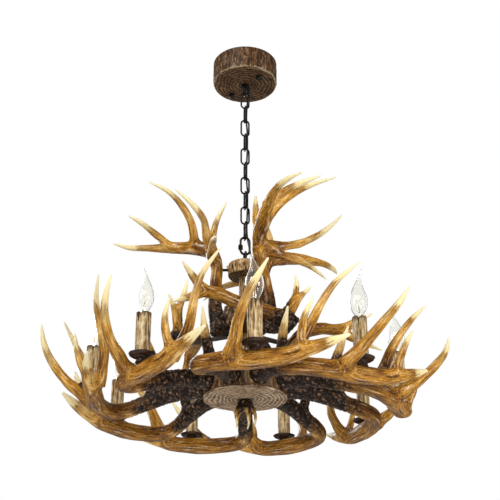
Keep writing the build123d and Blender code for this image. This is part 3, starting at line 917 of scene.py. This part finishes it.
# Grooves round the axis on the flat faces.
def ringLift(height, spacing, wobble):
    def lift(points, normals):
        flat = flatness(normals)
        turn = points * (0.03, 0.03, 0)
        phase = (radiusOf(points) + wobble * wavy(turn, 1, 3.0)) / spacing
        ring = np.sin(2 * math.pi * phase)
        rough = wavy(points, 0.22, 1.7) + 0.6 * wavy(points, 0.6, 5.1)
        shape = 0.5 * ring + 0.7 * rough
        return height * flat * shape - 0.2 * height, 0.5 + 0.55 * shape
    return lift


def blended(first, second):
    def lift(points, normals):
        heightA, reliefA = first(points, normals)
        heightB, reliefB = second(points, normals)
        flat = flatness(normals)
        return heightA + heightB, reliefA * (1 - flat) + reliefB * flat
    return lift


# A sculpted skin that stands in for one node.
def makeSkin(name, mesh, lift, looks, finish, node, body="fixture", lookOf=None):
    settle(newObject(name, sculpt(mesh, lift, looks, lookOf)), body, finish, node)


def boreProfile(outer, low, high, bore, chamfer):
    return [(bore, low), (outer - chamfer, low), (outer, low + chamfer), (outer, high - chamfer),
            (outer - chamfer, high), (bore, high)]


# A rounded lower edge as (radius, rise).
def roundedEdge(radius, edge):
    return [(radius - edge + edge * math.sin(a), edge - edge * math.cos(a))
            for a in np.radians((0, 22.5, 45, 67.5, 90))]


# Heights in the shapes below are millimetres above the plate's underside, but the canopy's from the ceiling.
canopyShape = {
    "radius": 75, "wall": 4, "floor": 4, "edge": 4, "height": 56,
    "bore": 5.1, "studCircle": 49, "studAngle": 41, "studHole": 2.2,
    "cordHole": (11.5, 14, 6.2, 4.8),      # across and along the first link, radius, half of the straight run
    "bark": (1.7, 0.13, 0.035),            # height, and how close the grooves are around and along
    "rings": (0.7, 8.0, 7.0),              # height, spacing and how far they waver
    "faceEdge": 71,                        # outside it the underside has bark
    "faceAbove": 4,
    "ceilingFade": 3,                      # the relief starts over this height below the ceiling
    "paleRim": (0.42, 26),                 # how pale the lower rim is, and the square of its width
}


def makeCanopy():
    s = canopyShape
    low, radius, top = -s["height"], s["radius"], s["floor"] - s["height"]
    inner = radius - s["wall"]
    profile = [(s["bore"], low)] + [(r, low + rise) for r, rise in roundedEdge(radius, s["edge"])]
    profile += [(radius, 0), (inner, 0), (inner, top), (s["bore"], top)]
    x, y, hole, run = s["cordHole"]
    holes = [(x, y, low - 5, top + 2, hole, run, place["chainTurn"])]
    for turn in (s["studAngle"], s["studAngle"] + 180):
        holes.append((0, -s["studCircle"], low - 5, top + 2, s["studHole"], 0, turn))
    mesh = drilled(latheMesh("canopySkin", profile, 2.0, 220), holes)
    shape = blended(outerOnly(barkLift(*s["bark"]), radius - 2), outerOnly(ringLift(*s["rings"]), 8))

    def lift(points, normals):
        height, relief = shape(points, normals)
        away = radiusOf(points)
        shown = (points[:, 2] < low + 1.5) | (away > radius - 2)
        fade = np.clip(-points[:, 2] / s["ceilingFade"], 0, 1)
        pale, width = s["paleRim"]
        rim = np.exp(-((away - radius) ** 2 + (points[:, 2] - low) ** 2) / width)
        return height * shown * fade, np.clip(relief + pale * rim, 0, 1)

    def lookOf(centres, facing):
        under = (facing[:, 2] < -0.75) & (centres[:, 2] < (low + s["faceAbove"]) * mm)
        return under & (radiusOf(centres) < s["faceEdge"] * mm)

    makeSkin("canopy_skin", mesh, lift, (canopyBark, canopyFace), "bark", "canopy", "canopy", lookOf)


stemShape = {
    "bore": 5.1,
    "capLow": 271, "capHigh": 304, "capRadius": 37, "capEdge": 6,
    "cordHole": (15, 8.4, 24, 6.5),        # across and along the first link, depth, radius
    "capBark": (2.2, 0.17, 0.06), "capRings": (0.6, 6.0, 5.0),
    # Painted shade on the cap's underside, and a painted highlight on its upper edge.
    "capShade": 0.45, "capPaintedHighlight": 0.14,     # of its underside, and of its upper edge
    "covers": (("lower", 61, 141), ("upper", 202, 271)),
    "coverRadius": 13, "coverBore": 10.3, "coverChamfer": 0.6, "coverBark": (1.2, 0.26, 0.03),
}


def makeStem():
    s = stemShape
    low, high = plateLow + s["capLow"], plateLow + s["capHigh"]
    edge = roundedEdge(s["capRadius"], s["capEdge"])
    profile = [(s["bore"], low)] + [(r, low + rise) for r, rise in edge]
    profile += [(r, high - rise) for r, rise in reversed(edge)] + [(s["bore"], high)]
    x, y, depth, hole = s["cordHole"]
    cap = drilled(latheMesh("capSkin", profile, 1.5, 150),
                  [(x, y, high - depth, high + 5, hole, 0, place["chainTurn"])])
    carved = blended(barkLift(*s["capBark"]), ringLift(*s["capRings"]))

    def capLift(points, normals):
        height, relief = carved(points, normals)
        # Painted shade on faces turned down, and a painted highlight near the upper edge.
        upper = np.clip((points[:, 2] - high + 14) / 10, 0, 1)
        return height, relief - s["capShade"] * np.clip(-normals[:, 2], 0, 1) + s["capPaintedHighlight"] * upper

    makeSkin("cap_skin", cap, outerOnly(capLift, 12), (stemBark,), "bark", "top_cap")
    for name, start, end in s["covers"]:
        foot, head = plateLow + start, plateLow + end
        profile = boreProfile(s["coverRadius"], foot, head, s["coverBore"], s["coverChamfer"])
        cover = latheMesh(f"{name}CoverSkin", profile, 1.3, 72)
        lift = outerOnly(barkLift(*s["coverBark"]), s["coverRadius"] - 1)
        makeSkin(f"stem_cover_{name}", cover, lift, (stemBark,), "bark", "stem_covers")


# Small overlapping knobs all over the drum.
def carvedLift(height):
    def lift(points, normals):
        blobs = pearls(points * (1, 1, 0.8), 9.0)
        small = pearls(points, 4.6)
        shape = 0.8 * blobs + 0.4 * small - 0.5
        return height * shape, 0.45 + 0.8 * shape
    return lift


hubShape = {
    "bore": 5.1,
    "upper": (46, 145, 202, 5),            # radius, low, high, chamfer
    "knobs": 2.4,
    "lowerProfile": [(5.1, 52), (73, 52), (73, 5), (83, 5), (85, 7), (85, 57), (81, 61), (5.1, 61)],
    "lowerBark": (2.0, 0.16, 0.02), "lowerRings": (0.8, 9, 6),
    "plate": (86, 0, 5, 1.5),
    "plateRings": (0.9, 8.6, 6.0),
}


def drumMesh(name, sizes, step, sides):
    radius, low, high, chamfer = sizes
    profile = boreProfile(radius, plateLow + low, plateLow + high, hubShape["bore"], chamfer)
    return latheMesh(name, profile, step, sides)


def makeHubs():
    s = hubShape
    upper = drumMesh("upperHubSkin", s["upper"], 1.7, 170)
    makeSkin("upper_hub_skin", upper, outerOnly(carvedLift(s["knobs"]), 12), (hubCarving,), "bark", "upper_hub")
    lower = latheMesh("lowerHubSkin", [(r, plateLow + z) for r, z in s["lowerProfile"]], 2.0, 260)
    bark = blended(barkLift(*s["lowerBark"]), ringLift(*s["lowerRings"]))
    makeSkin("lower_hub_skin", lower, outerOnly(bark, 80), (hubCarving,), "antler", "lower_hub")
    plate = drumMesh("plateSkin", s["plate"], 1.5, 260)
    rings = outerOnly(ringLift(*s["plateRings"]), 10)
    makeSkin("base_plate_skin", plate, rings, (plateFace,), "log_slice", "base_plate")


finialShape = {
    "skin": {"voxel": 1.3, "burrEnd": 60, "burrFade": 10, "flare": 0},
    "knob": [(0.01, 0, -0.5, 14.6), (0.01, 0, -6, 15), (0.01, 0, -11, 13), (0.01, 0, -14, 9)],
    "prong": [(6, 0, -8, 7), (16, 4, -20, 5), (21, 12, -36, 3.6), (20, 22, -56, 1.5)],
    "prongs": 5,
    "tip": 18,
}


def makeFinial():
    s = finialShape
    branches = [(0.01, s["knob"])]
    for k in range(s["prongs"]):
        turn = k * 360 / s["prongs"]
        branches.append((s["tip"], [(r, a + turn, z, t) for r, a, z, t in s["prong"]]))
    spec = {**s["skin"], "branches": branches, "darkBranches": range(1, s["prongs"] + 1)}
    piece = newObject("finial_skin", antlerMesh("finialSkin", spec))
    settle(piece, "fixture", "antler", "finial")


makeCanopy()
makeStem()
makeHubs()
makeFinial()
print("canopy, stem, hubs and finial made")


lightShape = {
    "floor": 5, "capTop": 87, "socketLow": 59.3,
    "trayProfile": [(5.1, -9), (12.5, -9), (11.0, -5), (10.5, 0), (12.5, 2), (15.5, 3), (20.5, 3), (23, 4.6),
                    (25, 8), (24.3, 8.3), (22.6, 7), (20, 5), (5.1, 5)],
    "candleOuter": 14, "candleInner": 12.4, "candleTop": 88,
    "glassWall": 0.7,
    "glassSides": 40,
    "glassSteps": 7,       # from one row of the bulb to the next
    "solidTip": 6,         # the last steps have no hollow
    "cap": {"bore": 1, "contact": 5, "shell": 6.6, "rise": 2},
    "thread": {"turns": 9, "start": 4, "pitch": 2.4, "root": 6.5, "crest": 7},
    # Up from the cap's top, radius.
    "mount": [(-1, 4), (8, 3.2), (22, 1.6), (25, 0.5)],
    "lead": [(1.2, 10), (1.6, 24), (4.6, 40)],     # out from the axis, up from the cap's top
    "leadRadius": 0.35,
    "coil": {"turns": 14, "points": 120, "width": 9.2, "height": 40, "bow": 4.2, "radius": 0.9, "wire": 0.32},
    "glassTurn": 137,      # each next bulb is turned by this much more
    "candleTurn": 83,
    # Sideways, up from the cap's top, radius.
    "bulb": [(0, 0, 6.4), (0, 7, 9.5), (0, 19, 15), (0, 31, 17.5), (0, 46, 15.5),
             (0.5, 61, 10), (3, 75, 5.2), (7, 87, 2.8), (11, 96, 1.2)],
    "trayDents": 0.45, "candleRidges": 1.1, "candleRuns": 9,
}


def lightPlace(step):
    x, y, z = polar(place["lightRadius"], place["lightAngle"], 0) * mm
    return turnedAbout(step * lightStep) @ Matrix.Translation((x, y, z))


def trayMesh():
    mesh = latheMesh("traySkin", lightShape["trayProfile"], 1.6, 72)

    def lift(points, normals):
        rough = wavy(points, 0.16) + 0.6 * wavy(points, 0.45, 3.0)
        return lightShape["trayDents"] * rough * (radiusOf(points) > 8), 0.5 + rough

    return sculpt(mesh, lift, (plain["trayRust"],))


def candleMesh():
    s = lightShape
    profile = [(s["candleInner"], s["floor"]), (s["candleOuter"], s["floor"]),
               (s["candleOuter"], s["candleTop"]), (s["candleInner"], s["candleTop"])]
    mesh = latheMesh("candleSkin", profile, 1.1, 80)

    def lift(points, normals):
        out = radiusOf(points) > s["candleOuter"] - 0.6
        ridge = 1 - 2 * np.abs(wavy(points, (0.23, 0.23, 0.018), 6.0))
        small = wavy(points, (0.5, 0.5, 0.05), 2.0)
        shape = 0.8 * (ridge - 0.6) + 0.35 * small
        ring = points * (1, 1, 0)
        drop = np.clip(wavy(ring, 0.16, 4.0) + 0.35 * wavy(ring, 0.5), -0.1, 0.6)
        nearTop = np.clip((points[:, 2] - (s["candleTop"] - 14)) / 14, 0, 1)
        points[:, 2] -= nearTop * (drop + 0.1) * s["candleRuns"]
        return out * (s["candleRidges"] * shape - 0.3), 0.5 + 0.8 * shape

    return sculpt(mesh, lift, (candleLook,))


def curveThrough(rows, count):
    return smoothLine(np.array(rows, float), lambda start, end: count)


# A round skin through (x, y, z, radius) rows in millimetres.
def tubeMesh(name, rows, sides, look):
    rows = np.array(rows, float)
    sideways, upwards = framesAlong(rows[:, :3], np.array((1.0, 0.0, 0.0)))
    sample = {"line": rows[:, :3], "thick": rows[:, 3], "sides": sideways, "ups": upwards}
    points, faces = tubeSkin(sample, sides)
    mesh = meshFrom(name, np.array(points) * mm, faces)
    mesh.materials.append(look)
    return mesh


def glassMesh():
    s = lightShape
    rows = curveThrough(s["bulb"], s["glassSteps"])
    outer = [(side, 0, s["capTop"] + up, r) for side, up, r in rows]
    inner = [(side, 0, s["capTop"] + up, r - s["glassWall"]) for side, up, r in rows[:-s["solidTip"]]]
    path = outer + list(reversed(inner))
    sides = s["glassSides"]
    points = [(x + r * math.cos(a), y + r * math.sin(a), z) for x, y, z, r in path for a in anglesOf(sides)]
    rings, last = len(path), len(outer) - 1
    faces = ringFaces([(ring, (ring + 1) % rings) for ring in range(rings) if ring != last], sides)
    tip = last * sides
    faces.append(tuple(tip + k for k in range(sides)))
    faces.append(tuple(tip + sides + k for k in range(sides)))
    mesh = meshFrom("glassSkin", np.array(points) * mm, faces)
    outward(mesh)
    mesh.materials.append(glassLook)
    smoothShade(mesh)
    return mesh


def bulbCapMesh():
    low, top, cap, thread = (lightShape[key] for key in ("socketLow", "capTop", "cap", "thread"))
    profile = [(cap["bore"], low), (cap["contact"], low), (cap["shell"], low + cap["rise"])]
    for turn in range(thread["turns"]):
        z = low + thread["start"] + turn * thread["pitch"]
        profile += [(thread["root"], z), (thread["crest"], z + thread["pitch"] / 2)]
    profile += [(cap["shell"], top), (cap["bore"], top)]
    mesh = latheMesh("bulbCapSkin", profile, 3, 48)

    def flat(points, _):
        return np.zeros(len(points)), np.full(len(points), 0.5)

    return sculpt(mesh, flat, (plain["capMetal"],))


def filamentMesh():
    s = lightShape
    top, coil = s["capTop"], s["coil"]
    parts = [tubeMesh("mount", [(0, 0, top + up, r) for up, r in s["mount"]], 20, glassLook)]
    for side in (-1, 1):
        lead = [(side * out, 0, top + up, s["leadRadius"]) for out, up in s["lead"]]
        parts.append(tubeMesh("leadWire", curveThrough(lead, 6), 8, plain["capMetal"]))
    rows = []
    for t in np.linspace(0, 1, coil["points"]):
        a = t * 2 * math.pi * coil["turns"]
        bow = coil["bow"] * math.sin(math.pi * t)
        rows.append((coil["width"] * (t - 0.5), coil["radius"] * math.cos(a),
                     top + coil["height"] + bow + coil["radius"] * math.sin(a), coil["wire"]))
    parts.append(tubeMesh("coil", rows, 6, filamentLook))
    return parts


def joined(name, meshes):
    looks = []
    shape = bmesh.new()
    for mesh in meshes:
        look = mesh.materials[0]
        if look not in looks:
            looks.append(look)
        before = len(shape.faces)
        shape.from_mesh(mesh)
        shape.faces.ensure_lookup_table()
        for face in shape.faces[before:]:
            face.material_index = looks.index(look)
    out = bpy.data.meshes.new(name)
    shape.to_mesh(out)
    shape.free()
    for look in looks:
        out.materials.append(look)
    smoothShade(out)
    return out


tray, candle, glass, bulbCap = trayMesh(), candleMesh(), glassMesh(), bulbCapMesh()
filament = joined("filamentSkin", filamentMesh())
for step in range(place["lightCount"]):
    number = step + 1
    here = lightPlace(step)
    bulb = f"bulb_{number}"
    candlePlace = here @ turnedAbout(step * lightShape["candleTurn"])
    bulbPlace = here @ turnedAbout(number * lightShape["glassTurn"])
    settle(newObject(f"drip_tray_{number}", tray, here), "fixture", "tray_rust", "drip_trays")
    settle(newObject(f"candle_{number}", candle, candlePlace), "fixture", "candle", "candle_sleeves")
    settle(newObject(f"{bulb}_glass", glass, bulbPlace), bulb, "clear_glass", bulb)
    settle(newObject(f"{bulb}_cap", bulbCap, bulbPlace), bulb, None, bulb)
    settle(newObject(f"{bulb}_filament", filament, bulbPlace), bulb, None, bulb)
print("lights made")


# Points are (along the first link, across it, depth below the canopy), in millimetres.
cordShape = {
    "diameter": 0.004,
    "length": 0.49,
    "route": [(11.5, 14, -14), (11.5, 14, 14), (7.5, 9.8, 44), (4.6, 5.2, 73), (4.4, 4.7, 108),
              (4.6, -4.6, 135), (4.4, -4.7, 185), (4.6, 4.6, 212), (4.4, 4.7, 262), (4.6, -4.6, 289),
              (4.4, -4.7, 339), (4.7, 4.6, 366), (5.2, 5.6, 396), (11, 8, 422), (15, 8, 446), (15, 8.4, 470)],
}


def cordPoint(a, b, depth):
    turn = math.radians(place["chainTurn"])
    x = a * math.cos(turn) - b * math.sin(turn)
    y = a * math.sin(turn) + b * math.cos(turn)
    return x * mm, y * mm, (place["canopyLow"] - depth) * mm


def makeCord():
    s = cordShape
    points = [cordPoint(*row) for row in s["route"]]
    curve = bpy.data.curves.new("cordLine", "CURVE")
    curve.dimensions = "3D"
    curve.resolution_u = 8
    curve.bevel_depth = s["diameter"] / 2
    curve.bevel_resolution = 4
    curve.use_fill_caps = True
    spline = curve.splines.new("NURBS")
    spline.points.add(len(points) - 1)
    for slot, point in zip(spline.points, points):
        slot.co = (*point, 1)
    spline.order_u = 3
    spline.use_endpoint_u = True
    curve.materials.append(plain["cordSheath"])
    piece = newObject("supply_cord_run", curve)
    settle(piece, "chain", "black_cord", "supply_cord")


makeCord()
print("cord made")


# The pieces that stay as CAD solids.
dressed = {
    "blackIron": ["canopy_loop", "cap_loop", "canopy_ball_nuts", "quick_link", "quick_link_sleeve", "stay_rods",
                  *[f"chain_link_{number}" for number in range(1, 11)]],
    "trayRust": ["upper_spider"],
    "zincSteel": ["mounting_bar", "canopy_studs", "canopy_loop_nuts", "stem_rod", "stem_nuts", "antler_bolts",
                  "lamp_nipples"],
    "socketMoulding": ["lamp_holders"],
    "terminalMoulding": ["terminal_block"],
}
for finish, names in dressed.items():
    for name in names:
        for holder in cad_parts[name].material_slots:
            holder.link = "OBJECT"
            holder.material = plain[finish]


surroundings = {
    "floorZ": -2.6,
    "floorSize": 14,
    "floorColour": (0.86, 0.86, 0.85),
    "floorRoughness": 0.9,
    "floorGlow": 0.38,       # only towards the camera
    "skyLight": 0.5,
    "glossSky": (0.15, 0.145, 0.14),
    "lamps": [
        # place, watts, size
        ((-1.6, -2.4, 1.0), 72, 1.0),
        ((2.2, -1.8, -0.4), 42, 0.9),
        ((0.2, -1.6, -2.4), 14, 1.4),
        ((-1.2, 2.4, 0.6), 30, 1.2),
    ],
    "aim": (0, 0, -0.62),
}


def makeFloor():
    s = surroundings
    half = s["floorSize"] / 2
    corners = [(-half, -half), (half, -half), (half, half), (-half, half)]
    mesh = meshFrom("floorFace", [(x, y, s["floorZ"]) for x, y in corners], [(0, 1, 2, 3)])
    material, tree, shader = startMaterial("floorPaint")
    seen = node(tree, "ShaderNodeLightPath").outputs["Is Camera Ray"]
    glow = calc(tree, "MULTIPLY", seen, s["floorGlow"])
    feed(tree, shader, {"Base Color": (*s["floorColour"], 1), "Roughness": s["floorRoughness"],
                        "Emission Color": (1, 1, 1, 1), "Emission Strength": glow})
    mesh.materials.append(material)
    newObject("floor", mesh)


def makeWorld():
    s = surroundings
    world = bpy.data.worlds.new("surround")
    world.use_nodes = True
    bpy.context.scene.world = world
    tree = world.node_tree
    path = node(tree, "ShaderNodeLightPath").outputs
    seen = calc(tree, "MAXIMUM", path["Is Camera Ray"], path["Is Transmission Ray"])
    dim = mixColour(tree, path["Is Glossy Ray"], (s["skyLight"],) * 3, s["glossSky"])
    feed(tree, tree.nodes["Background"], {"Color": mixColour(tree, seen, dim, (1.0, 1.0, 1.0))})


def makeLamps():
    aim = Vector(surroundings["aim"])
    for number, (spot, watts, size) in enumerate(surroundings["lamps"]):
        data = bpy.data.lights.new(f"softbox{number}", "AREA")
        data.energy = watts
        data.size = size
        lamp = newObject(f"softbox{number}", data)
        lamp.location = spot
        lamp.rotation_euler = (aim - lamp.location).to_track_quat("-Z", "Y").to_euler()


makeFloor()
makeWorld()
makeLamps()
bpy.context.scene.view_settings.view_transform = "Standard"
